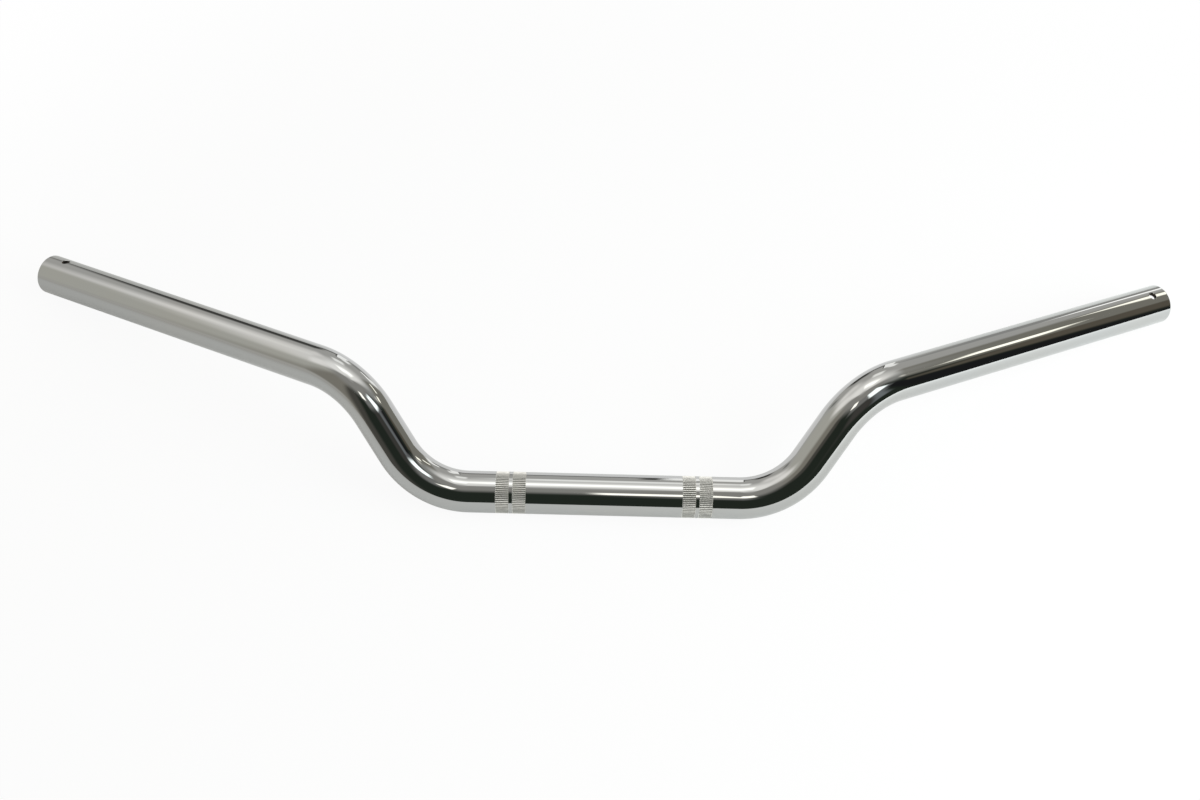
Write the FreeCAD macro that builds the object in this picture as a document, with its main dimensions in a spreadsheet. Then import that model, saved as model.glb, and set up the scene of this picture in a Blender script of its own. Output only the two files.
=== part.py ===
"""Motorcycle handlebar: one steel tube, cold bent and knurled where the clamps hold it.

The right half is drawn from the middle of the clamped run outwards, run by run and bend by bend, the
way a tube bender counts them, and mirrored. The finished bar lies as it does on a bench: the clamped
run along X, the two grip ends level with it and swept towards +Y, the risers arching up between them.
"""
import FreeCAD
import Part
import os

import Sketcher

SIZES = (
    ("tube_diameter", 22.2, "outside of the drawn tube, mm"),
    ("tube_wall", 2.3, "wall of the tube, mm"),
    ("centre_run", 143.0, "straight clamped run between the two lower bends, mm"),
    ("bend_radius", 44.0, "centreline radius of every bend, mm"),
    ("riser_bend_angle", 58.5, "lower bend, from the clamped run into the riser, degrees"),
    ("riser_run", 24.0, "straight riser between the two bends, mm"),
    ("bend_twist_angle", 145.0, "turn of the tube in the bender between the two bends, degrees"),
    ("grip_bend_angle", 54.0, "upper bend, from the riser into the grip, degrees"),
    ("grip_run", 193.0, "straight grip, from the upper bend to the open end, mm"),
    ("end_break", 0.6, "chamfer on the outer edge of the open end, mm"),
    ("bore_break", 0.4, "chamfer on the inner edge of the open end, mm"),
    ("knurl_spacing", 98.5, "between the middles of the two pairs of knurled bands, mm"),
    ("knurl_gap", 1.9, "plain ring between the two bands of a pair, mm"),
    ("knurl_width", 7.0, "length of one knurled band, mm"),
    ("knurl_teeth", 64, "straight teeth around the tube"),
    ("knurl_depth", 0.4, "depth of the groove between two teeth, mm"),
    ("knurl_angle", 90.0, "angle between the flanks of a groove, degrees"),
    ("retainer_diameter", 4.6, "hole near each open end for the clip of an inner weight, mm"),
    ("right_retainer_distance", 10.6, "from the right open end to the middle of its hole, mm"),
    ("right_retainer_angle", 203.0, "turn of that hole around the grip from the inside of its bend, degrees"),
    ("left_retainer_distance", 12.6, "from the left open end to the middle of its hole, mm"),
    ("left_retainer_angle", 175.0, "turn of that hole around the grip, counted as in a mirror, degrees"),
)

ORIGIN = -1
X_AXIS = -1
Y_AXIS = -2
START, END, CENTRE = range(1, 4)


def add_sizes(doc):
    """Write the driving dimensions into a spreadsheet, one named cell each."""
    sheet = doc.addObject("Spreadsheet::Sheet", "Sizes")
    for row, (name, value, meaning) in enumerate(SIZES, start=1):
        sheet.set("A%d" % row, meaning)
        sheet.set("B%d" % row, str(value))
        sheet.setAlias("B%d" % row, name)
    doc.recompute()
    return sheet


def origin_feature(body, role):
    """Return the body's own origin plane or axis with this role."""
    for feature in body.Origin.OriginFeatures:
        if feature.Role == role:
            return feature
    raise RuntimeError("no origin feature " + role)


def add_station(body, name, support, axis, **offsets):
    """Place a frame on the tube's centreline: its Z runs along the tube, its X points into the next bend."""
    frame = body.newObject("PartDesign::CoordinateSystem", name)
    frame.AttachmentSupport = [(support, "")]
    frame.MapMode = "ObjectXY"
    frame.AttachmentOffset = FreeCAD.Placement(FreeCAD.Vector(), FreeCAD.Rotation(axis, 45.0))
    for key, formula in offsets.items():
        path = "Rotation.Angle" if key == "turn" else "Base." + key
        frame.setExpression("AttachmentOffset." + path, formula)
    return frame


def add_bend_station(body, name, support, angle):
    """Follow the tube round a bend from one station to the next."""
    return add_station(
        body, name, support, FreeCAD.Vector(0, 1, 0),
        x="Sizes.bend_radius * (1 - cos(%s))" % angle,
        z="Sizes.bend_radius * sin(%s)" % angle,
        turn=angle,
    )


def add_sketch(body, name, support, mode="ObjectXY"):
    """Start a sketch on a station or an origin plane."""
    sketch = body.newObject("Sketcher::SketchObject", name)
    sketch.AttachmentSupport = [(support, "")]
    sketch.MapMode = mode
    return sketch


def drive(sketch, name, formula, *definition):
    """Add a named dimension to a sketch and bind it to the sizes."""
    index = sketch.addConstraint(Sketcher.Constraint(*definition))
    sketch.renameConstraint(index, name)
    sketch.setExpression("Constraints." + name, formula)


def draw_circle(sketch, name, start_radius, formula):
    """Draw a circle about the sketch's origin with a driven radius."""
    circle = sketch.addGeometry(Part.Circle(FreeCAD.Vector(), FreeCAD.Vector(0, 0, 1), start_radius), False)
    sketch.addConstraint(Sketcher.Constraint("Coincident", circle, CENTRE, ORIGIN, START))
    drive(sketch, name, formula, "Radius", circle, start_radius)


def draw_tube_section(sketch):
    """Draw the tube's ring section."""
    draw_circle(sketch, "outer_radius", 12.0, "Sizes.tube_diameter / 2")
    draw_circle(sketch, "inner_radius", 9.0, "Sizes.tube_diameter / 2 - Sizes.tube_wall")


def draw_polygon(sketch, points):
    """Draw a closed outline of straight lines and return their numbers."""
    corners = [FreeCAD.Vector(x, y, 0) for x, y in points]
    lines = []
    for here, after in zip(corners, corners[1:] + corners[:1]):
        lines.append(sketch.addGeometry(Part.LineSegment(here, after), False))
    for line, after in zip(lines, lines[1:] + lines[:1]):
        sketch.addConstraint(Sketcher.Constraint("Coincident", line, END, after, START))
    return lines


def add_run(body, name, station, length):
    """Pad the tube's section along a straight run."""
    sketch = add_sketch(body, name + "Section", station)
    draw_tube_section(sketch)
    pad = body.newObject("PartDesign::Pad", name)
    pad.Profile = sketch
    pad.setExpression("Length", length)
    return pad


def add_bend(body, name, station, angle):
    """Revolve the tube's section about the bend's axis, one bend radius off the centreline."""
    sketch = add_sketch(body, name + "Section", station)
    draw_tube_section(sketch)
    low = FreeCAD.Vector(40, -10, 0)
    high = FreeCAD.Vector(40, 10, 0)
    axis = sketch.addGeometry(Part.LineSegment(low, high), True)
    sketch.addConstraint(Sketcher.Constraint("Symmetric", axis, START, axis, END, X_AXIS))
    drive(sketch, "axis_length", "Sizes.tube_diameter", "DistanceY", axis, START, axis, END, 20.0)
    drive(sketch, "bend_radius", "Sizes.bend_radius", "DistanceX", ORIGIN, START, axis, START, 40.0)
    bend = body.newObject("PartDesign::Revolution", name)
    bend.Profile = sketch
    bend.ReferenceAxis = (sketch, ["Axis0"])
    bend.setExpression("Angle", angle)
    return bend


def add_grip(body, station):
    """Revolve the grip's wall, with both edges of the open end chamfered, about the grip's axis."""
    sketch = add_sketch(body, "GripWall", station, "ObjectXZ")
    outline = ((9, 0), (11, 0), (11, 190), (10.5, 193), (9.5, 193), (9, 190))
    foot, outside, outer_break, mouth, inner_break, inside = draw_polygon(sketch, outline)
    for line in (outside, inside):
        sketch.addConstraint(Sketcher.Constraint("Vertical", line))
    for line in (foot, mouth):
        sketch.addConstraint(Sketcher.Constraint("Horizontal", line))
    sketch.addConstraint(Sketcher.Constraint("PointOnObject", foot, START, X_AXIS))
    outer = "Sizes.tube_diameter / 2"
    inner = outer + " - Sizes.tube_wall"
    end_break = "Sizes.end_break"
    bore_break = "Sizes.bore_break"
    drive(sketch, "inner_radius", inner, "DistanceX", ORIGIN, START, foot, START, 9.0)
    drive(sketch, "outer_radius", outer, "DistanceX", ORIGIN, START, foot, END, 11.0)
    drive(sketch, "grip_run", "Sizes.grip_run", "DistanceY", ORIGIN, START, mouth, START, 193.0)
    drive(sketch, "end_break_in", end_break, "DistanceX", outer_break, END, outer_break, START, 0.5)
    drive(sketch, "end_break_back", end_break, "DistanceY", outer_break, START, outer_break, END, 0.5)
    drive(sketch, "bore_break_in", bore_break, "DistanceX", inner_break, END, inner_break, START, 0.5)
    drive(sketch, "bore_break_back", bore_break, "DistanceY", inner_break, END, inner_break, START, 0.5)
    grip = body.newObject("PartDesign::Revolution", "Grip")
    grip.Profile = sketch
    grip.ReferenceAxis = (sketch, ["V_Axis"])
    grip.Angle = 360.0
    return grip


def add_knurl_groove(body, name, plane, offset):
    """Cut the first groove of one knurled band: a V on top of the tube, as long as the band."""
    sketch = add_sketch(body, name + "Profile", plane, "FlatFace")
    sketch.setExpression("AttachmentOffset.Base.z", offset)
    outline = ((0, 10.7), (0.8, 11.5), (-0.8, 11.5))
    right, top, left = draw_polygon(sketch, outline)
    sketch.addConstraint(Sketcher.Constraint("PointOnObject", right, START, Y_AXIS))
    sketch.addConstraint(Sketcher.Constraint("Symmetric", top, START, top, END, Y_AXIS))
    bottom = "Sizes.tube_diameter / 2 - Sizes.knurl_depth"
    above = "Sizes.tube_diameter / 2 + Sizes.knurl_depth"
    half_width = "2 * Sizes.knurl_depth * tan(Sizes.knurl_angle * 1deg / 2)"
    drive(sketch, "groove_bottom", bottom, "DistanceY", ORIGIN, START, right, START, 10.7)
    drive(sketch, "groove_top", above, "DistanceY", ORIGIN, START, right, END, 11.5)
    drive(sketch, "groove_half_width", half_width, "DistanceX", ORIGIN, START, right, END, 0.8)
    groove = body.newObject("PartDesign::Pocket", name)
    groove.Profile = sketch
    groove.Reversed = True
    groove.setExpression("Length", "Sizes.knurl_width")
    return groove


def add_knurl(body):
    """Cut both bands of the right-hand pair and repeat their grooves around the tube."""
    plane = origin_feature(body, "YZ_Plane")
    pair_middle = "Sizes.knurl_spacing / 2"
    inner = add_knurl_groove(
        body, "InnerKnurl", plane, pair_middle + " - Sizes.knurl_gap / 2 - Sizes.knurl_width")
    outer = add_knurl_groove(body, "OuterKnurl", plane, pair_middle + " + Sizes.knurl_gap / 2")
    ring = body.newObject("PartDesign::PolarPattern", "KnurlTeeth")
    ring.Originals = [inner, outer]
    ring.Axis = (origin_feature(body, "X_Axis"), [""])
    ring.Angle = 360.0
    ring.setExpression("Occurrences", "Sizes.knurl_teeth")
    body.Tip = ring
    return ring


def add_retainer_hole(body, side, station):
    """Drill one wall of a grip, from the middle of the bore outwards."""
    sketch = add_sketch(body, side + "RetainerCircle", station, "ObjectYZ")
    draw_circle(sketch, "hole_radius", 2.0, "Sizes.retainer_diameter / 2")
    hole = body.newObject("PartDesign::Pocket", side + "RetainerHole")
    hole.Profile = sketch
    hole.Reversed = True
    hole.setExpression("Length", "Sizes.tube_diameter")
    return hole


def add_side(body, side, start, forward, back):
    """Count one half's stations from the middle of the clamped run, turned the way its signs say."""
    along = FreeCAD.Vector(0, 0, 1)
    own = "Sizes." + side.lower() + "_retainer_"
    half_run = "Sizes.centre_run / 2"
    riser_bend = add_station(body, side + "RiserBendStart", start, along, z=half_run, turn="0deg")
    riser = add_bend_station(body, side + "RiserStart", riser_bend, "Sizes.riser_bend_angle * 1deg")
    grip_bend = add_station(
        body, side + "GripBendStart", riser, along,
        z="Sizes.riser_run", turn=back + "Sizes.bend_twist_angle * 1deg")
    grip = add_bend_station(body, side + "GripStart", grip_bend, "Sizes.grip_bend_angle * 1deg")
    end = add_station(body, side + "GripEnd", grip, along, z="Sizes.grip_run", turn="0deg")
    retainer = add_station(
        body, side + "RetainerMiddle", end, along,
        z="-" + own + "distance", turn=forward + own + "angle * 1deg")
    return riser_bend, riser, grip_bend, grip, retainer


def build_handlebar(doc):
    """Build the right half along its stations, mirror it about the clamped run and drill both grips."""
    body = doc.addObject("PartDesign::Body", "HandlebarTube")
    body.Label = "handlebar_tube"
    middle = origin_feature(body, "YZ_Plane")

    start = add_station(body, "RightMiddle", middle, FreeCAD.Vector(0, 0, 1), turn="90deg")
    other = add_station(body, "LeftMiddle", start, FreeCAD.Vector(1, 0, 0), turn="180deg")
    riser_bend, riser, grip_bend, grip, right_retainer = add_side(body, "Right", start, "", "-")
    left_retainer = add_side(body, "Left", other, "-", "")[-1]
    doc.recompute()

    add_run(body, "CentreRun", start, "Sizes.centre_run / 2")
    add_bend(body, "RiserBend", riser_bend, "Sizes.riser_bend_angle * 1deg")
    add_run(body, "Riser", riser, "Sizes.riser_run")
    add_bend(body, "GripBend", grip_bend, "Sizes.grip_bend_angle * 1deg")
    add_grip(body, grip)
    doc.recompute()
    plain = body.Shape.Volume

    knurl = add_knurl(body)
    doc.recompute()
    if not body.Shape.Volume < plain:
        raise RuntimeError("the knurl missed the tube")

    both = body.newObject("PartDesign::Mirrored", "BothHalves")
    both.TransformMode = "Whole shape"
    both.Originals = [knurl]
    both.MirrorPlane = (middle, [""])
    body.Tip = both
    doc.recompute()

    for side, station in (("Right", right_retainer), ("Left", left_retainer)):
        undrilled = body.Shape.Volume
        add_retainer_hole(body, side, station)
        doc.recompute()
        if not body.Shape.Volume < undrilled:
            raise RuntimeError("a retainer hole missed the tube")

    body.Placement = FreeCAD.Placement(FreeCAD.Vector(), FreeCAD.Rotation(FreeCAD.Vector(1, 0, 0), 45.0))
    body.setExpression(
        "Placement.Rotation.Angle", "-atan2(RightGripEnd.Placement.Base.z; RightGripEnd.Placement.Base.y)")
    doc.recompute()
    return body


def check_model(doc, body):
    """Stop if any object failed or the tube is not one sound solid."""
    for item in doc.Objects:
        if "Invalid" in item.State or "Error" in item.State:
            raise RuntimeError("%s failed: %s" % (item.Name, item.State))
    shape = body.Shape
    if shape.isNull() or not shape.isValid() or len(shape.Solids) != 1:
        raise RuntimeError("the tube is not one valid solid")


def main():
    """Make the document, check it and write the tube."""
    doc = FreeCAD.newDocument("Handlebar")
    add_sizes(doc)
    body = build_handlebar(doc)
    check_model(doc, body)
    os.makedirs("parts", exist_ok=True)
    body.Shape.exportStep("parts/%s.step" % body.Label)


main()
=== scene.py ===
"""A chrome motorcycle handlebar on a white table: the tube's plated skin, and the studio around it.

The skin follows the frame's one bent tube run by run and bend by bend, with the knurled clamp bands, the
open ends and the retainer holes as real geometry, and smooth normals worked out from the tube itself.
"""
import math
from typing import NamedTuple

import bpy
from bpy.props import FloatProperty, FloatVectorProperty, IntProperty, PointerProperty
from mathutils import Euler, Matrix, Vector


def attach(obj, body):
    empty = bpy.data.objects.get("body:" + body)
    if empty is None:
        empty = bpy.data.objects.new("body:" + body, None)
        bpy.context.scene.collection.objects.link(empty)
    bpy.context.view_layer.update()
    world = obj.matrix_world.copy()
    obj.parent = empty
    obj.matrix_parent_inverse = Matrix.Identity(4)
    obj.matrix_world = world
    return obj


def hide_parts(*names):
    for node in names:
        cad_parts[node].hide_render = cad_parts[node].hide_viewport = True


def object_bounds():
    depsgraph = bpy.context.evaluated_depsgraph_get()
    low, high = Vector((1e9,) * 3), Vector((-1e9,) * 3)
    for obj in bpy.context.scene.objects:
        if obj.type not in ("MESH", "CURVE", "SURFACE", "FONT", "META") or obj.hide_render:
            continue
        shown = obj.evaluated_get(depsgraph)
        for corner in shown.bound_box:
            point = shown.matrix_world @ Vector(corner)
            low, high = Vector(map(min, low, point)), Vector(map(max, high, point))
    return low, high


bl_info = {
    "name": "Chrome Handlebar",
    "version": (1, 0, 0),
    "blender": (4, 5, 0),
    "location": "View3D > Sidebar > Handlebar",
    "description": "Builds a bent, knurled and chrome-plated handlebar and the table it lies on",
    "category": "Add Mesh",
}

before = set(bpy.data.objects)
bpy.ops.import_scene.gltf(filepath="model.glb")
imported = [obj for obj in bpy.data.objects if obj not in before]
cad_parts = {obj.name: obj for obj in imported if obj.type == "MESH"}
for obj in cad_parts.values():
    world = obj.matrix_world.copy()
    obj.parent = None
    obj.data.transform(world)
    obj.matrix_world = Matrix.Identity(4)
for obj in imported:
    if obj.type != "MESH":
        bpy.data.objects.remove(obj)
CAD_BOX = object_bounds()

TUBE_NODE = "handlebar_tube"
BODY = "root"

FULL_TURN = 2 * math.pi
QUARTER_TURN = math.pi / 2

# Material slots of the skin.
CHROME, KNURL, BORE = range(3)

# A tooth of the knurl has two columns of points on its crest and two in the groove after it.
COLUMNS_PER_TOOTH = 4
CREST_COLUMNS = 2
# Share of the grooves' depth, from the top, that the painted groove shade leaves untouched.
UNSHADED_CREST = 1 / 8

# Points nearer to the mirror plane than this lie in it.
MIRROR_PLANE_REACH = 1e-9

# The surround starts below the table's height and closes overhead.
DOME_FOOT = math.radians(-18)
DOME_RINGS = 24
CIRCLE_CORNERS = 96

# The plate mirrors the table as plain white in the bay behind the clamped run: from where to where, in
# metres, that fades in towards the back and from both sides.
BAY_BACK_FADE = (0.0, 0.08)
BAY_SIDE_FADE = (0.25, 0.1)
WHITE = (1.0, 1.0, 1.0, 1.0)

# The camera's sensor in millimetres, and the nearest that it sees in metres.
SENSOR_WIDTH = 36.0
NEAR_CLIP = 0.01


def length(name, default, description):
    """A size in metres that shows with the scene's length unit."""
    return FloatProperty(
        name=name, description=description, default=default, subtype="DISTANCE", unit="LENGTH")


def spot(name, default, description):
    """A place in the frame."""
    return FloatVectorProperty(
        name=name, description=description, default=default, size=3, subtype="TRANSLATION", unit="LENGTH")


def angle(name, degrees, description):
    """An angle, written here in degrees."""
    return FloatProperty(
        name=name, description=description, default=math.radians(degrees), subtype="ANGLE", unit="ROTATION")


def colour(name, default, description):
    """A surface or light colour."""
    return FloatVectorProperty(
        name=name, description=description, default=default, size=3, min=0.0, subtype="COLOR")


def factor(name, default, description):
    """A plain number such as a roughness or a light level."""
    return FloatProperty(name=name, description=description, default=default, min=0.0)


class BarSizes(bpy.types.PropertyGroup):
    """Sizes of the bent tube, the same as the frame's."""

    tube_radius: length("Tube radius", 0.0111, "Outside radius of the tube")
    tube_wall: length("Wall", 0.0023, "Wall thickness of the tube")
    centre_run: length("Centre run", 0.143, "Straight clamped run between the lower bends")
    bend_radius: length("Bend radius", 0.044, "Centreline radius of every bend")
    riser_bend: angle("Riser bend", 58.5, "Lower bend, from the clamped run into the riser")
    riser_run: length("Riser", 0.024, "Straight riser between the two bends")
    bend_twist: angle("Bend twist", 145.0, "Turn of the tube between the two bends")
    grip_bend: angle("Grip bend", 54.0, "Upper bend, from the riser into the grip")
    grip_run: length("Grip", 0.193, "Straight grip up to the open end")
    end_round: length("End rounding", 0.0006, "Rounded outer edge of the open end")
    bore_break: length("Bore break", 0.0004, "Chamfer on the inner edge of the open end")
    knurl_spacing: length("Knurl spacing", 0.0985, "Between the middles of the two pairs of bands")
    knurl_gap: length("Knurl gap", 0.0019, "Plain ring between the two bands of a pair")
    knurl_width: length("Knurl width", 0.007, "Length of one knurled band")
    knurl_depth: length("Knurl depth", 0.0004, "Depth of the grooves between the teeth")
    knurl_runout: length("Knurl run-out", 0.00025, "Length over which a groove rises at a band's edge")
    knurl_crest: length("Knurl crest", 0.00028, "Width of the flat on top of a tooth")
    knurl_root: length("Knurl root", 0.00012, "Width of the flat at the bottom of a groove")
    knurl_teeth: IntProperty(name="Knurl teeth", description="Teeth around the tube", default=64, min=8)
    hole_radius: length("Hole radius", 0.0023, "Radius of the retainer hole")
    right_hole_distance: length("Right hole", 0.0106, "From the right end to the middle of its hole")
    right_hole_turn: angle("Right hole turn", 203.0, "Turn of that hole, from the inside of its upper bend")
    left_hole_distance: length("Left hole", 0.0126, "From the left end to the middle of its hole")
    left_hole_turn: angle("Left hole turn", 175.0, "Turn of that hole, counted as in a mirror")
    hole_break: length("Hole break", 0.00015, "Broken outer edge of the retainer hole")


class PlateFinish(bpy.types.PropertyGroup):
    """Colours and polish of the plated, knurled and bare steel."""

    chrome: colour("Chrome", (0.5, 0.506, 0.504), "Colour of the bright plate")
    chrome_warm: colour("Warm chrome", (0.506, 0.505, 0.494), "Colour of the plate where it is thinnest")
    chrome_roughness: factor("Chrome roughness", 0.025, "Polish of the bright plate")
    haze: factor("Haze", 0.05, "How much handling dulls the plate in places")
    specks: factor("Specks", 0.03, "How much tiny specks dull the plate")
    knurl: colour("Knurl", (0.92, 0.91, 0.87), "Colour of the plate on the teeth")
    knurl_worn: factor("Worn knurl", 0.8, "Brightness of the teeth where there is grime in their grain")
    # The groove colour is painted shade: it darkens the teeth towards the bottom of the grooves.
    groove: colour("Groove", (0.13, 0.125, 0.115), "Colour of the grime at the bottom of the grooves")
    knurl_roughness: factor("Knurl roughness", 0.32, "Polish of the plate on the teeth")
    knurl_grime: factor("Knurl grime", 0.12, "How much grime dulls the teeth in places")
    knurl_grain: factor("Knurl grain", 0.08, "How much their grain dulls the teeth")
    knurl_metal: factor("Knurl metal", 0.75, "How metallic the teeth look under their grime")
    steel: colour("Bore steel", (0.32, 0.3, 0.275), "Colour of the unplated steel inside")
    steel_roughness: factor("Bore roughness", 0.38, "Dullness of the unplated steel inside")
    steel_grain: factor("Bore grain", 0.1, "How much its grain dulls the steel inside")
    rust: colour("Bore rust", (0.2, 0.12, 0.075), "Colour of the flash rust inside")
    rust_roughness: factor("Rust roughness", 0.3, "How much the rust dulls the steel inside")
    rust_cover: factor("Rust cover", 0.6, "How far the rust hides the steel's metal look")


class StudioSetup(bpy.types.PropertyGroup):
    """Table, surroundings, light and camera."""

    table: colour("Table", (0.97, 0.97, 0.965), "Colour of the white table")
    table_glow: factor("Table glow", 0.92, "How far the table is held at plain white to the eye")
    mirrored_glow: factor("Mirrored glow", 0.15, "How far it is held at plain white in the plate")
    shadow_reach: length("Shadow reach", 0.58, "Distance from the bar at which the table is plain white")
    table_radius: length("Table radius", 1.5, "Radius of the white table")
    table_middle: length("Table middle", -0.92, "From the bar's middle to the table's, along the bar")
    surround: colour("Surround", (0.028, 0.036, 0.028), "Colour of the dark between the cards")
    surround_radius: length("Surround radius", 3.0, "Radius of the cards that stand round the table")
    world: colour("World", (1.0, 0.99, 0.93), "Colour of the light from all round")
    world_level: factor("World level", 0.5, "Strength of the light from all round")
    lamp: colour("Lamp", (0.93, 1.0, 1.02), "Colour of the soft side lamp")
    lamp_level: factor("Lamp level", 7.2, "Power of the soft side lamp, in watts")
    lamp_size: length("Lamp size", 0.8, "Width of the soft side lamp")
    lamp_place: spot("Lamp place", (0.75, -0.15, 0.4), "Where the soft side lamp hangs")
    lamp_aim: spot("Lamp aim", (0.0, 0.05, 0.0), "What the soft side lamp points at")
    camera_place: spot("Camera", (-0.01417, -0.39232, 0.69629), "Where the camera stands")
    camera_turn: FloatVectorProperty(
        name="Camera turn", description="How the camera is turned", size=3, subtype="EULER",
        default=(math.radians(32.991), math.radians(-1.462), math.radians(0.822)))
    camera_lens: FloatProperty(name="Lens", description="Focal length on a 36 mm sensor", default=45.0)


class Value:
    """A shader socket that takes part in Python arithmetic."""

    def __init__(self, graph, socket):
        self.graph = graph
        self.socket = socket

    def math(self, operation, *others, clamp=False):
        """Apply one Math node to this value and the others."""
        inputs = dict(enumerate((self,) + others))
        return self.graph.make("ShaderNodeMath", {"operation": operation, "use_clamp": clamp}, inputs)

    def __add__(self, other):
        return self.math("ADD", other)

    __radd__ = __add__

    def __sub__(self, other):
        return self.math("SUBTRACT", other)

    def __rsub__(self, other):
        return self.graph.make("ShaderNodeMath", {"operation": "SUBTRACT"}, {0: other, 1: self})

    def __mul__(self, other):
        return self.math("MULTIPLY", other)

    __rmul__ = __mul__

    def __truediv__(self, other):
        return self.math("DIVIDE", other)

    def __abs__(self):
        return self.math("ABSOLUTE")

    def ramp(self, low, high):
        """Rise smoothly from 0 at low to 1 at high."""
        settings = {"interpolation_type": "SMOOTHSTEP"}
        inputs = {"Value": self, "From Min": low, "From Max": high, "To Min": 0.0, "To Max": 1.0}
        return self.graph.make("ShaderNodeMapRange", settings, inputs)


class Graph:
    """The node tree of one material or of the world."""

    # Numbers of a Mix node's colour sockets: its two inputs and its output.
    MIX_FIRST, MIX_SECOND, MIX_RESULT = 6, 7, 2

    def __init__(self, owner):
        owner.use_nodes = True
        self.tree = owner.node_tree
        self.tree.nodes.clear()

    def make(self, kind, settings=None, inputs=None, output=0):
        """Add a node, set it up, feed its sockets and return one of its outputs."""
        node = self.tree.nodes.new(kind)
        for name, value in (settings or {}).items():
            setattr(node, name, value)
        for key, value in (inputs or {}).items():
            socket = node.inputs[key]
            if isinstance(value, Value):
                self.tree.links.new(value.socket, socket)
            else:
                socket.default_value = value
        return Value(self, node.outputs[output]) if node.outputs else node

    def several(self, kind, names, inputs=None):
        """Add a node and return those of its outputs that are named."""
        node = self.make(kind, {}, inputs).socket.node
        return [Value(self, node.outputs[name]) for name in names]

    def place(self):
        """Where a point lies on its object, in metres."""
        return self.make("ShaderNodeTexCoord", output="Object")

    def split(self, place, axes):
        """Some of a place's coordinates, such as XY."""
        return self.several("ShaderNodeSeparateXYZ", axes, {"Vector": place})

    def seen(self):
        """Whether the camera looks straight at a point, and whether plate or glass shows it."""
        eye, glossy, through = self.several(
            "ShaderNodeLightPath", ("Is Camera Ray", "Is Glossy Ray", "Is Transmission Ray"))
        return eye, glossy + through

    def mix_colour(self, share, first, second, label=""):
        """Blend two colours."""
        settings = {"data_type": "RGBA", "label": label}
        inputs = {"Factor": share, self.MIX_FIRST: first, self.MIX_SECOND: second}
        return self.make("ShaderNodeMix", settings, inputs, self.MIX_RESULT)

    def noise(self, place, scale, detail, roughness=0.5):
        """A cloud of values between 0 and 1."""
        inputs = {"Vector": place, "Scale": scale, "Detail": detail, "Roughness": roughness}
        return self.make("ShaderNodeTexNoise", {}, inputs)

    def grain(self, place, stretch, detail):
        """A cloud that is scaled along each axis."""
        stretched = self.make("ShaderNodeMapping", {}, {"Vector": place, "Scale": stretch})
        return self.noise(stretched, 1.0, detail)

    def metal(self, base, roughness, metallic, height, strength, distance):
        """Lead a metal finish to the surface, with a fine relief of this height."""
        relief = {"Strength": strength, "Distance": distance, "Height": height}
        shader = self.make("ShaderNodeBsdfPrincipled", {}, {
            "Base Color": base,
            "Roughness": roughness,
            "Metallic": metallic,
            "Normal": self.make("ShaderNodeBump", {}, relief),
        })
        self.make("ShaderNodeOutputMaterial", {}, {"Surface": shader})


def opaque(shade):
    """A colour with full alpha."""
    return (*shade, 1.0)


def chrome_material(finish):
    """Bright plate: sharp reflections, with faint handling haze and the tube's slight waviness."""
    material = bpy.data.materials.new("bright chrome plate")
    graph = Graph(material)
    place = graph.place()
    tint = graph.noise(place, scale=14.0, detail=3.0).ramp(low=0.35, high=0.7)
    smudge = graph.noise(place, scale=55.0, detail=5.0, roughness=0.62).ramp(low=0.52, high=0.78)
    speck = graph.noise(place, scale=900.0, detail=2.0).ramp(low=0.7, high=0.85)
    graph.metal(
        base=graph.mix_colour(tint, opaque(finish.chrome), opaque(finish.chrome_warm)),
        roughness=smudge * finish.haze + speck * finish.specks + finish.chrome_roughness,
        metallic=1.0,
        height=graph.grain(place, stretch=(60.0, 120.0, 120.0), detail=1.0),
        strength=0.02,
        distance=0.0002,
    )
    return material


def knurl_material(finish, sizes):
    """Plate on the rolled teeth: paler and duller, with a little grime in its grain and painted shade in
    the grooves.
    """
    material = bpy.data.materials.new("knurled chrome plate")
    graph = Graph(material)
    place = graph.place()
    grain = graph.grain(place, stretch=(600.0, 1800.0, 1800.0), detail=3.0)
    grime = graph.noise(place, scale=420.0, detail=4.0).ramp(low=0.5, high=0.8)
    side, up = graph.split(place, "YZ")
    from_axis = (side * side + up * up).math("SQRT")
    root = sizes.tube_radius - sizes.knurl_depth
    # Painted shade: the teeth darken from near their tops down to the groove colour at the bottom of the
    # grooves.
    crest = from_axis.ramp(root, sizes.tube_radius - sizes.knurl_depth * UNSHADED_CREST)
    worn = [part * finish.knurl_worn for part in finish.knurl]
    tooth = graph.mix_colour(grime, opaque(finish.knurl), opaque(worn))
    graph.metal(
        base=graph.mix_colour(crest, opaque(finish.groove), tooth),
        roughness=grime * finish.knurl_grime + grain * finish.knurl_grain + finish.knurl_roughness,
        metallic=finish.knurl_metal,
        height=grain,
        strength=0.15,
        distance=0.00003,
    )
    return material


def bore_material(finish):
    """Unplated steel inside the tube: dull and grainy, with flash rust in patches."""
    material = bpy.data.materials.new("bare steel bore")
    graph = Graph(material)
    place = graph.place()
    rust = graph.noise(place, scale=180.0, detail=6.0, roughness=0.6).ramp(low=0.5, high=0.72)
    grain = graph.noise(place, scale=1500.0, detail=3.0)
    graph.metal(
        base=graph.mix_colour(rust, opaque(finish.steel), opaque(finish.rust)),
        roughness=rust * finish.rust_roughness + grain * finish.steel_grain + finish.steel_roughness,
        metallic=1.0 - rust * finish.rust_cover,
        height=grain,
        strength=0.3,
        distance=0.0001,
    )
    return material


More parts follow.
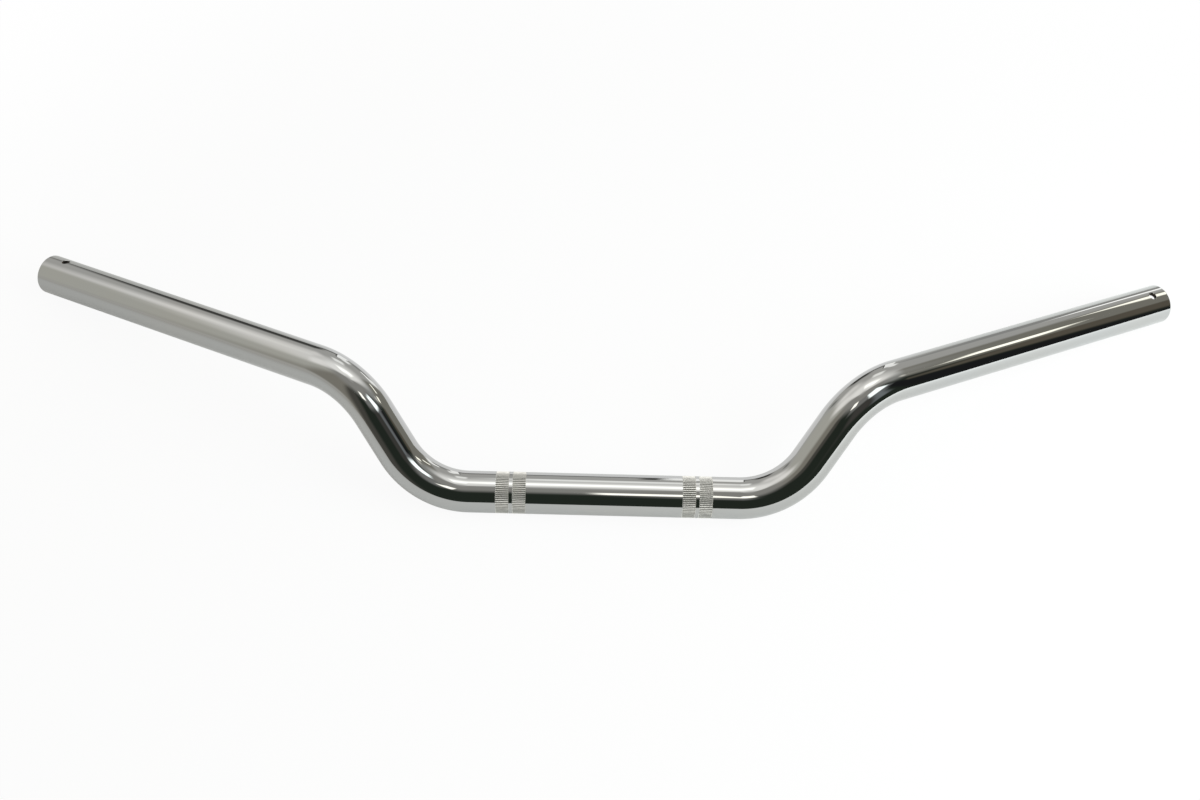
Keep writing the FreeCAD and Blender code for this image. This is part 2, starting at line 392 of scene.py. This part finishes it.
class Walker:
    """Carries a frame along the tube's centreline, with no twist of its own."""

    def __init__(self, lean):
        self.point = Vector((0.0, 0.0, 0.0))
        self.along = Vector((1.0, 0.0, 0.0))
        self.side = Vector((0.0, 1.0, 0.0))
        self.up = Vector((0.0, 0.0, 1.0))
        self.inside = Vector((0.0, math.sin(lean), math.cos(lean)))

    def station(self):
        """A copy of the frame where the walker stands."""
        return (self.point.copy(), self.side.copy(), self.up.copy(), self.along.copy())

    def straight(self, distance):
        """Go straight on."""
        self.point += self.along * distance

    def turn_inside(self, amount):
        """Turn the way to the next bend's middle around the tube."""
        self.inside = Matrix.Rotation(amount, 3, self.along) @ self.inside

    def bend(self, radius, amount):
        """Go round part of a bend."""
        middle = self.point + self.inside * radius
        turn = Matrix.Rotation(amount, 3, self.along.cross(self.inside))
        self.point = middle + turn @ (self.point - middle)
        for name in ("along", "side", "up", "inside"):
            setattr(self, name, turn @ getattr(self, name))


def walk_to_grip(sizes, lean, steps):
    """Walk from the middle of the clamped run to the start of the grip, keeping a station at each step."""
    walker = Walker(lean)
    walker.straight(sizes.centre_run / 2)
    stations = [walker.station()]
    for _ in range(steps):
        walker.bend(sizes.bend_radius, sizes.riser_bend / steps)
        stations.append(walker.station())
    walker.straight(sizes.riser_run)
    stations.append(walker.station())
    walker.turn_inside(-sizes.bend_twist)
    for _ in range(steps):
        walker.bend(sizes.bend_radius, sizes.grip_bend / steps)
        stations.append(walker.station())
    return stations, walker


def level_lean(sizes):
    """How far the risers lean back when both open ends lie level with the clamped run."""
    _, walker = walk_to_grip(sizes, 0.0, 1)
    walker.straight(sizes.grip_run)
    return math.atan2(walker.point.z, walker.point.y)


class Skin:
    """Collects the points, faces and corner normals of half the tube."""

    def __init__(self):
        self.points = []
        self.faces = []

    def ring(self, points):
        """Add points and return their numbers."""
        start = len(self.points)
        self.points.extend(points)
        return list(range(start, len(self.points)))

    def face(self, corners, normals, slot):
        """Add a face; a face with no corner normals is flat."""
        self.faces.append((corners, normals, slot))

    def band(self, low, high, normals=None, slot=CHROME, skip=()):
        """Join two closed rings with quads."""
        count = len(low)
        for here in range(count):
            if here in skip:
                continue
            after = (here + 1) % count
            shade = None
            if normals:
                shade = (normals[0][here], normals[0][after], normals[1][after], normals[1][here])
            self.face((low[here], low[after], high[after], high[here]), shade, slot)


def join_halves(right, left):
    """Mirror the left half, which is built as a right one, and share the points in the mirror plane."""
    points = list(right.points)
    partner = []
    for number, point in enumerate(left.points):
        if abs(point.x) < MIRROR_PLANE_REACH:
            partner.append(number)
        else:
            partner.append(len(points))
            points.append(Vector((-point.x, point.y, point.z)))
    faces = list(right.faces)
    for corners, normals, slot in left.faces:
        flipped = tuple(partner[corner] for corner in reversed(corners))
        shade = None
        if normals:
            shade = tuple(Vector((-n.x, n.y, n.z)) for n in reversed(normals))
        faces.append((flipped, shade, slot))
    return points, faces


def tooth_columns(sizes):
    """Angles around the tube, four to a tooth: both edges of its crest and of the groove after it."""
    pitch = FULL_TURN / sizes.knurl_teeth
    crest = sizes.knurl_crest / sizes.tube_radius / 2
    root = sizes.knurl_root / sizes.tube_radius / 2
    offsets = (-crest, crest, pitch / 2 - root, pitch / 2 + root)
    return [tooth * pitch + offset for tooth in range(sizes.knurl_teeth) for offset in offsets]


class TubeBuilder:
    """Builds the skin of half the plated tube, outside, round the open end and inside."""

    # Steps round a bend and round the end's outer edge; the bore takes every second station.
    BEND_STEPS = 36
    END_STEPS = 5
    BORE_STRIDE = 2
    # The window round the hole: columns, rows, half its length in radii of the hole, and its first corner.
    PATCH_COLUMNS = 28
    PATCH_ROWS = 12
    PATCH_MARGIN = 1.7
    FIRST_CORNER = -0.75 * math.pi
    # How far each ring of faces has come from the window to the hole.
    RING_SHARES = (0.35, 0.7, 1.0)

    def __init__(self, sizes, hole_distance, hole_turn):
        self.sizes = sizes
        self.hole_distance = hole_distance
        self.hole_turn = hole_turn
        self.outer = sizes.tube_radius
        self.inner = sizes.tube_radius - sizes.tube_wall
        self.columns = tooth_columns(sizes)
        self.skin = Skin()
        self.stations, self.grip = walk_to_grip(sizes, level_lean(sizes), self.BEND_STEPS)
        self.middle = Walker(0.0).station()

    def directions(self, station):
        """Unit vectors from the centreline to each column."""
        _, side, up, _ = station
        return [side * math.cos(turn) + up * math.sin(turn) for turn in self.columns]

    def plain_ring(self, station, radius):
        """A round ring and its outward directions."""
        ways = self.directions(station)
        return self.skin.ring([station[0] + way * radius for way in ways]), ways

    def toothed_ring(self, station):
        """A ring with the knurl's grooves."""
        ways = self.directions(station)
        root = self.outer - self.sizes.knurl_depth
        points = []
        for number, way in enumerate(ways):
            on_crest = number % COLUMNS_PER_TOOTH < CREST_COLUMNS
            points.append(station[0] + way * (self.outer if on_crest else root))
        return self.skin.ring(points), ways

    @staticmethod
    def moved(station, distance):
        """A station further along a straight run."""
        point, side, up, along = station
        return (point + along * distance, side, up, along)

    def join(self, low, high, inward=False, slot=CHROME, skip=()):
        """Join two rings with smooth faces."""
        sign = -1.0 if inward else 1.0
        normals = [[way * sign for way in ring[1]] for ring in (low, high)]
        self.skin.band(low[0], high[0], normals, slot, skip)

    def join_knurl(self, low, high):
        """Join two rings of a knurled band: smooth on the crests, flat in the grooves."""
        count = len(self.columns)
        crests = set(range(0, count, COLUMNS_PER_TOOTH))
        others = set(range(count)) - crests
        self.join(low, high, slot=KNURL, skip=others)
        self.skin.band(low[0], high[0], None, KNURL, crests)

    def clamped_run(self):
        """The outside of the clamped run, with the two knurled bands of its right half."""
        sizes = self.sizes
        pair = sizes.knurl_spacing / 2
        near = sizes.knurl_gap / 2
        far = near + sizes.knurl_width
        last = self.plain_ring(self.middle, self.outer)
        for start, stop in ((pair - far, pair - near), (pair + near, pair + far)):
            edge = self.plain_ring(self.moved(self.middle, start), self.outer)
            self.join(last, edge)
            rise = self.toothed_ring(self.moved(self.middle, start + sizes.knurl_runout))
            fall = self.toothed_ring(self.moved(self.middle, stop - sizes.knurl_runout))
            last = self.plain_ring(self.moved(self.middle, stop), self.outer)
            self.join_knurl(edge, rise)
            self.join_knurl(rise, fall)
            self.join_knurl(fall, last)
        return last

    def hole_frame(self):
        """The hole's place along the grip and its angle in the columns' own turn."""
        _, side, up, along = self.grip.station()
        way = Matrix.Rotation(self.hole_turn, 3, along) @ self.grip.inside
        return self.sizes.grip_run - self.hole_distance, math.atan2(way.dot(up), way.dot(side))

    def on_grip(self, distance, turn, radius):
        """A point of the grip's wall and its outward direction."""
        point, side, up, along = self.grip.station()
        way = side * math.cos(turn) + up * math.sin(turn)
        return point + along * distance + way * radius, way

    def patch_columns(self, turn):
        """The columns on either side of the hole."""
        count = len(self.columns)
        gaps = [abs(math.remainder(column - turn, FULL_TURN)) for column in self.columns]
        first = gaps.index(min(gaps)) - self.PATCH_COLUMNS // 2
        return [(first + step) % count for step in range(self.PATCH_COLUMNS + 1)]

    def drilled_run(self, last, radius, distances, inward):
        """Cover the drilled stretch of the grip, with a window whose rings of faces close on the hole."""
        _, turn = self.hole_frame()
        window = self.patch_columns(turn)
        rows = []
        for number, distance in enumerate(distances):
            ring = self.plain_ring(self.moved(self.grip.station(), distance), radius)
            skip = set(window[:-1]) if number else ()
            self.join(last, ring, inward, BORE if inward else CHROME, skip)
            rows.append((ring[0], distance))
            last = ring
        loop = self.window_loop(rows, window)
        return last, self.close_on_hole(loop, turn, radius, inward)

    def window_loop(self, rows, window):
        """The window's edge, counted the way its faces turn: number, angle and distance of each point."""
        corners = [(row, column) for row in rows[:1] for column in window[:-1]]
        corners += [(row, window[-1]) for row in rows[:-1]]
        corners += [(row, column) for row in rows[-1:] for column in reversed(window[1:])]
        corners += [(row, window[0]) for row in reversed(rows[1:])]
        return [(ring[column], self.columns[column], distance) for (ring, distance), column in corners]

    def rim_angles(self):
        """Angles of the hole's rim that match the window's edge, a quarter of a turn to each side."""
        angles = []
        corner = self.FIRST_CORNER
        for count in (self.PATCH_COLUMNS, self.PATCH_ROWS, self.PATCH_COLUMNS, self.PATCH_ROWS):
            angles += [corner + QUARTER_TURN * step / count for step in range(count)]
            corner += QUARTER_TURN
        return angles

    def rim(self, radius, hole_radius, inward):
        """Where a hole of this radius meets the wall: angle and distance of each point of a ring."""
        sign = -1.0 if inward else 1.0
        place, turn = self.hole_frame()
        rim = []
        for around in self.rim_angles():
            offset = math.asin(hole_radius * math.cos(around) / radius)
            rim.append((turn + offset, place + sign * hole_radius * math.sin(around)))
        return rim

    def close_on_hole(self, loop, turn, radius, inward):
        """Fill between the window and the hole with rings that go over from one to the other."""
        sign = -1.0 if inward else 1.0
        edge = self.sizes.hole_radius + (0.0 if inward else self.sizes.hole_break)
        rim = self.rim(radius, edge, inward)
        ring = [number for number, _, _ in loop]
        ways = [self.on_grip(distance, column, radius)[1] for _, column, distance in loop]
        for share in self.RING_SHARES:
            points, after = [], []
            for (_, column, distance), (rim_turn, rim_place) in zip(loop, rim):
                start = turn + math.remainder(column - turn, FULL_TURN)
                point, way = self.on_grip(
                    distance + (rim_place - distance) * share, start + (rim_turn - start) * share, radius)
                points.append(point)
                after.append(way)
            numbers = self.skin.ring(points)
            normals = [[way * sign for way in side] for side in (ways, after)]
            self.skin.band(ring, numbers, normals, BORE if inward else CHROME)
            ring, ways = numbers, after
        return ring

    def hole_wall(self, outer_rim, inner_rim):
        """The broken edge and the wall of the hole, from the outside in."""
        sizes = self.sizes
        place, turn = self.hole_frame()
        _, middle = self.on_grip(place, turn, self.outer)
        points = []
        for rim_turn, distance in self.rim(self.outer, sizes.hole_radius, False):
            point, _ = self.on_grip(distance, rim_turn, self.outer)
            points.append(point - middle * sizes.hole_break)
        lip = self.skin.ring(points)
        self.skin.band(outer_rim, lip, None, CHROME)
        # The inner rim is counted the other way round, from below the lip's fourth corner.
        count = len(lip)
        fourth_corner = 2 * self.PATCH_COLUMNS + self.PATCH_ROWS
        below = [inner_rim[(fourth_corner - number) % count] for number in range(count)]
        self.skin.band(lip, below, None, BORE)

    def open_end(self, last):
        """Round the outer edge, face the end and chamfer the bore."""
        sizes = self.sizes
        station = self.moved(self.grip.station(), sizes.grip_run)
        along = station[3]
        normals = self.directions(station)
        for step in range(1, self.END_STEPS + 1):
            turn = QUARTER_TURN * step / self.END_STEPS
            radius = self.outer - sizes.end_round * (1 - math.cos(turn))
            back = sizes.end_round * (1 - math.sin(turn))
            ring, ways = self.plain_ring(self.moved(station, -back), radius)
            after = [way * math.cos(turn) + along * math.sin(turn) for way in ways]
            self.skin.band(last[0], ring, [normals, after], CHROME)
            last, normals = (ring, ways), after
        face = self.plain_ring(station, self.inner + sizes.bore_break)
        self.skin.band(last[0], face[0], None, CHROME)
        mouth = self.plain_ring(self.moved(station, -sizes.bore_break), self.inner)
        self.skin.band(face[0], mouth[0], None, BORE)
        return mouth

    def build(self):
        """Cover the half tube, outside from the middle to the end and inside back again."""
        sizes = self.sizes
        last = self.clamped_run()
        for station in self.stations:
            ring = self.plain_ring(station, self.outer)
            self.join(last, ring)
            last = ring
        place, _ = self.hole_frame()
        reach = sizes.hole_radius * self.PATCH_MARGIN
        rows = [place - reach + 2 * reach * step / self.PATCH_ROWS for step in range(self.PATCH_ROWS + 1)]
        last, outer_rim = self.drilled_run(last, self.outer, rows, False)
        end = self.plain_ring(self.moved(self.grip.station(), sizes.grip_run - sizes.end_round), self.outer)
        self.join(last, end)
        mouth = self.open_end(end)
        last, inner_rim = self.drilled_run(mouth, self.inner, rows[::-1], True)
        self.hole_wall(outer_rim, inner_rim)
        for station in reversed(self.stations[::self.BORE_STRIDE]):
            ring = self.plain_ring(station, self.inner)
            self.join(last, ring, True, BORE)
            last = ring
        middle = self.plain_ring(self.middle, self.inner)
        self.join(last, middle, True, BORE)
        return self.skin


def tube_mesh(points, faces):
    """Make the mesh, with each corner's own normal."""
    mesh = bpy.data.meshes.new("handlebar_skin")
    mesh.from_pydata([tuple(point) for point in points], [], [corners for corners, _, _ in faces])
    mesh.polygons.foreach_set("material_index", [slot for _, _, slot in faces])
    mesh.polygons.foreach_set("use_smooth", [True] * len(faces))
    mesh.update()
    shades = []
    for polygon, (corners, normals, _) in zip(mesh.polygons, faces):
        ways = normals or [polygon.normal] * len(corners)
        shades += [tuple(way) for way in ways]
    mesh.normals_split_custom_set(shades)
    return mesh


class HANDLEBAR_OT_tube(bpy.types.Operator):
    """Build the plated tube over the frame's bar"""

    bl_idname = "handlebar.tube"
    bl_label = "Build Tube"

    def execute(self, context):
        sizes = context.scene.handlebar_sizes
        finish = context.scene.handlebar_finish
        right = TubeBuilder(sizes, sizes.right_hole_distance, sizes.right_hole_turn).build()
        left = TubeBuilder(sizes, sizes.left_hole_distance, sizes.left_hole_turn).build()
        mesh = tube_mesh(*join_halves(right, left))
        for material in (chrome_material(finish), knurl_material(finish, sizes), bore_material(finish)):
            mesh.materials.append(material)
        tube = bpy.data.objects.new("handlebar_skin", mesh)
        context.scene.collection.objects.link(tube)
        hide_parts(TUBE_NODE)
        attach(tube, BODY)
        return {"FINISHED"}


class Card(NamedTuple):
    """A soft card of light or shade that the plate mirrors, with its angles in degrees."""

    name: str
    azimuth: float
    elevation: float
    half_width: float
    half_height: float
    softness: float
    tint: tuple
    level: float


# The cards round the table, each laid over those before it. Their azimuth counts from straight behind the
# bar towards the right, and that of the front cards from straight in front of it towards the left.
CARDS = (
    Card("wide back card", -10, 18, 78, 44, 34, (1.0, 0.99, 0.95), 0.6),
    Card("tall left card", -90, 20, 31, 62, 22, (1.0, 0.99, 0.9), 0.64),
    Card("tan left card", -127, 28, 19, 46, 20, (1.0, 0.95, 0.82), 0.33),
    Card("dark left card", -150, 24, 10, 32, 14, (1.0, 0.96, 0.84), 0.1),
    Card("low left card", -117, 2, 18, 9, 10, (1.0, 0.98, 0.92), 0.6),
    Card("dim right card", 63, 18, 22, 30, 10, (1.0, 0.97, 0.84), 0.3),
    Card("brown right card", 90, 16, 8, 15, 6, (1.0, 0.88, 0.68), 0.15),
    Card("upper right card", 70, 57, 24, 14, 20, (0.97, 0.98, 0.94), 0.42),
    Card("overhead card", 0, 90, 360, 28, 22, (1.0, 0.98, 0.92), 0.4),
    Card("bright overhead card", -8, 71, 70, 20, 34, (1.0, 0.99, 0.96), 1.36),
    Card("overhead light", 8, 70, 26, 6, 10, (1.0, 1.0, 0.96), 2.2),
    Card("topmost card", 0, 90, 360, 4, 8, (1.0, 0.99, 0.95), 0.6),
    Card("bright left card", -70, 52, 18, 12, 20, (1.0, 0.98, 0.95), 1.3),
    Card("bright corner card", -42, 39, 19, 10, 16, (1.0, 0.98, 0.95), 1.12),
    Card("small left light", -47, 37, 5, 4, 7, (1.0, 0.99, 0.95), 1.2),
    Card("back light", 3, 41, 8, 6, 6, (1.0, 1.0, 0.97), 1.4),
    Card("low back shade", -3, 2, 13, 5, 6, (1.0, 1.0, 0.95), 0.25),
    Card("dark back card", -16, 4, 8, 10, 8, (1.0, 1.0, 0.95), 0.08),
    Card("low left shade", -46, 11, 4, 6, 6, (1.0, 1.0, 0.95), 0.3),
    Card("thin dark card", 3.4, 12, 0.5, 7, 0.8, (1.0, 1.0, 0.95), 0.08),
    Card("low back light", 7.7, 8, 3.7, 11, 0.8, (1.0, 1.0, 0.98), 1.5),
    Card("dim low card", 21, 3, 6, 9, 4, (1.0, 1.0, 0.97), 0.42),
    Card("soft low light", 12.5, 17, 3.5, 6, 4, (1.0, 1.0, 0.98), 1.45),
    Card("low right light", 35, 5, 4, 9, 4, (1.0, 1.0, 0.98), 1.5),
    Card("near light strip", 50.5, 26.7, 6.5, 1.8, 1.5, (1.0, 0.98, 0.86), 2.2),
    Card("low light strip", 28.7, 10.2, 4, 2.0, 1.5, (1.0, 1.0, 0.98), 2.0),
    Card("far light strip", 72, 34.8, 5, 2.4, 1.5, (1.0, 0.98, 0.86), 2.3),
    Card("strip glow", 79, 43, 4, 3, 6, (1.0, 0.98, 0.9), 0.9),
    Card("dim front right card", 148, 58, 26, 8, 12, (1.0, 1.0, 0.97), 0.3),
    Card("cool shade", 117, 43, 14, 7, 8, (0.95, 0.98, 1.0), 0.2),
    Card("cool soft box", 120, 57, 14, 9, 6, (0.93, 1.0, 1.0), 2.3),
    Card("cool right card", 125, 31, 6, 13, 8, (0.86, 0.95, 1.0), 0.3),
    Card("dark right card", 107, 17, 7, 25, 6, (0.9, 0.95, 1.0), 0.02),
)
FRONT_CARDS = (
    Card("front soft box", -9.8, 65, 8.3, 5, 3, (1.0, 0.98, 0.9), 2.3),
    Card("dark front card", -36, 34, 14, 14, 14, (1.0, 0.95, 0.88), 0.08),
)


def card_mask(azimuth, elevation, card):
    """How much of one card a direction meets, soft at its edges."""
    fade = card.softness / 2
    inside_width = abs(azimuth - card.azimuth).ramp(card.half_width + fade, card.half_width - fade)
    inside_height = abs(elevation - card.elevation).ramp(card.half_height + fade, card.half_height - fade)
    return inside_width * inside_height


def surround_material(studio):
    """The dark round the table, with the cards that the plate mirrors laid over it."""
    material = bpy.data.materials.new("studio surround")
    graph = Graph(material)
    right, back, high = graph.split(graph.place(), "XYZ")
    to_degrees = math.degrees(1.0)
    elevation = (high / studio.surround_radius).math("ARCSINE") * to_degrees
    from_back = right.math("ARCTAN2", back) * to_degrees
    from_front = right.math("ARCTAN2", back * -1.0) * -to_degrees
    shade = opaque(studio.surround)
    for azimuth, cards in ((from_back, CARDS), (from_front, FRONT_CARDS)):
        for card in cards:
            lit = opaque([part * card.level for part in card.tint])
            shade = graph.mix_colour(card_mask(azimuth, elevation, card), shade, lit, card.name)
    emission = graph.make("ShaderNodeEmission", {}, {"Color": shade, "Strength": 1.0})
    graph.make("ShaderNodeOutputMaterial", {}, {"Surface": emission})
    material.cycles.emission_sampling = "NONE"
    return material


def table_material(studio):
    """White table top that takes the bar's shadow, held white to the eye and in the plate's middle bay."""
    material = bpy.data.materials.new("white table")
    graph = Graph(material)
    eye, mirrored = graph.seen()
    place = graph.place()
    far_off = graph.make("ShaderNodeVectorMath", {"operation": "LENGTH"}, {0: place}, output="Value")
    plain = far_off.ramp(studio.shadow_reach / 2, studio.shadow_reach)
    glow = plain * (1.0 - studio.table_glow) + studio.table_glow
    right, back = graph.split(place, "XY")
    bay = back.ramp(*BAY_BACK_FADE) * abs(right).ramp(*BAY_SIDE_FADE)
    mirrored_glow = bay * (1.0 - studio.mirrored_glow) + studio.mirrored_glow
    share = (eye * glow).math("MAXIMUM", mirrored * mirrored_glow)
    matt = graph.make("ShaderNodeBsdfDiffuse", {}, {"Color": opaque(studio.table)})
    white = graph.make("ShaderNodeEmission", {}, {"Color": WHITE, "Strength": 1.0})
    mixed = graph.make("ShaderNodeMixShader", {}, {"Fac": share, 1: matt, 2: white})
    graph.make("ShaderNodeOutputMaterial", {}, {"Surface": mixed})
    material.cycles.emission_sampling = "NONE"
    return material


def circle(middle, radius, height):
    """Points round a level circle whose middle lies on the X axis."""
    turns = [FULL_TURN * corner / CIRCLE_CORNERS for corner in range(CIRCLE_CORNERS)]
    return [(middle + radius * math.cos(turn), radius * math.sin(turn), height) for turn in turns]


def disc(name, middle, radius, height):
    """A flat round sheet."""
    mesh = bpy.data.meshes.new(name)
    mesh.from_pydata(circle(middle, radius, height), [], [list(range(CIRCLE_CORNERS))])
    return bpy.data.objects.new(name, mesh)


def dome(name, radius, height):
    """A sphere without its underside, seen from inside."""
    points = []
    for ring in range(DOME_RINGS):
        rise = DOME_FOOT + (QUARTER_TURN - DOME_FOOT) * ring / DOME_RINGS
        points += circle(0.0, radius * math.cos(rise), radius * math.sin(rise))
    top = len(points)
    points.append((0.0, 0.0, radius))
    faces = []
    for ring in range(DOME_RINGS):
        start = ring * CIRCLE_CORNERS
        for corner in range(CIRCLE_CORNERS):
            low = start + corner
            after = start + (corner + 1) % CIRCLE_CORNERS
            if ring + 1 < DOME_RINGS:
                faces.append((after, low, low + CIRCLE_CORNERS, after + CIRCLE_CORNERS))
            else:
                faces.append((after, low, top))
    mesh = bpy.data.meshes.new(name)
    mesh.from_pydata(points, [], faces)
    sphere = bpy.data.objects.new(name, mesh)
    sphere.location = (0.0, 0.0, height)
    return sphere


class HANDLEBAR_OT_stage(bpy.types.Operator):
    """Set the white table, the cards around it, the light and the camera"""

    bl_idname = "handlebar.stage"
    bl_label = "Set Stage"

    def execute(self, context):
        scene = context.scene
        studio = scene.handlebar_studio
        floor_height = CAD_BOX[0][2]
        table = disc("white_table", studio.table_middle, studio.table_radius, floor_height)
        table.data.materials.append(table_material(studio))
        surround = dome("studio_surround", studio.surround_radius, floor_height)
        surround.data.materials.append(surround_material(studio))
        surround.visible_camera = False
        surround.visible_diffuse = False
        surround.visible_shadow = False
        for thing in (table, surround):
            scene.collection.objects.link(thing)
        self.add_world(scene, studio)
        self.add_lamp(scene, studio)
        self.add_camera(scene, studio)
        scene.view_settings.view_transform = "Standard"
        return {"FINISHED"}

    def add_world(self, scene, studio):
        """Even light from all round, and plain white behind the table."""
        world = bpy.data.worlds.new("even light")
        scene.world = world
        graph = Graph(world)
        eye, mirrored = graph.seen()
        seen = eye.math("MAXIMUM", mirrored, clamp=True)
        even = graph.make(
            "ShaderNodeBackground", {}, {"Color": opaque(studio.world), "Strength": studio.world_level})
        white = graph.make("ShaderNodeBackground", {}, {"Color": WHITE, "Strength": 1.0})
        mixed = graph.make("ShaderNodeMixShader", {}, {"Fac": seen, 1: even, 2: white})
        graph.make("ShaderNodeOutputWorld", {}, {"Surface": mixed})

    def add_lamp(self, scene, studio):
        """A large soft lamp to the right, for the shadow under the bar."""
        light = bpy.data.lights.new("side_lamp", "AREA")
        light.shape = "DISK"
        light.size = studio.lamp_size
        light.energy = studio.lamp_level
        light.color = studio.lamp
        lamp = bpy.data.objects.new("side_lamp", light)
        lamp.location = studio.lamp_place
        towards = Vector(studio.lamp_aim) - Vector(studio.lamp_place)
        lamp.rotation_euler = towards.to_track_quat("-Z", "Y").to_euler()
        lamp.visible_glossy = False
        lamp.visible_camera = False
        scene.collection.objects.link(lamp)

    def add_camera(self, scene, studio):
        """The camera, over the front of the table and looking down on the bar."""
        camera = bpy.data.objects.new("camera", bpy.data.cameras.new("camera"))
        camera.data.lens = studio.camera_lens
        camera.data.sensor_width = SENSOR_WIDTH
        camera.data.sensor_fit = "HORIZONTAL"
        camera.data.clip_start = NEAR_CLIP
        camera.location = studio.camera_place
        camera.rotation_euler = Euler(studio.camera_turn)
        scene.collection.objects.link(camera)
        scene.camera = camera


class HANDLEBAR_PT_panel(bpy.types.Panel):
    """Sizes and finishes of the handlebar, and the buttons that build it"""

    bl_idname = "HANDLEBAR_PT_panel"
    bl_label = "Handlebar"
    bl_space_type = "VIEW_3D"
    bl_region_type = "UI"
    bl_category = "Handlebar"

    def draw(self, context):
        scene = context.scene
        for operator in (HANDLEBAR_OT_tube, HANDLEBAR_OT_stage):
            self.layout.operator(operator.bl_idname)
        for group in (scene.handlebar_sizes, scene.handlebar_finish, scene.handlebar_studio):
            box = self.layout.box()
            for name in group.bl_rna.properties.keys():
                if name not in ("rna_type", "name"):
                    box.prop(group, name)


CLASSES = (BarSizes, PlateFinish, StudioSetup, HANDLEBAR_OT_tube, HANDLEBAR_OT_stage, HANDLEBAR_PT_panel)


def register():
    """Register the classes and hang their settings on the scene."""
    for item in CLASSES:
        bpy.utils.register_class(item)
    bpy.types.Scene.handlebar_sizes = PointerProperty(type=BarSizes)
    bpy.types.Scene.handlebar_finish = PointerProperty(type=PlateFinish)
    bpy.types.Scene.handlebar_studio = PointerProperty(type=StudioSetup)


def unregister():
    """Take the settings and classes away again."""
    del bpy.types.Scene.handlebar_studio
    del bpy.types.Scene.handlebar_finish
    del bpy.types.Scene.handlebar_sizes
    for item in reversed(CLASSES):
        bpy.utils.unregister_class(item)


def main():
    """Build everything in order."""
    register()
    bpy.ops.handlebar.tube()
    bpy.ops.handlebar.stage()


if __name__ == "__main__":
    main()
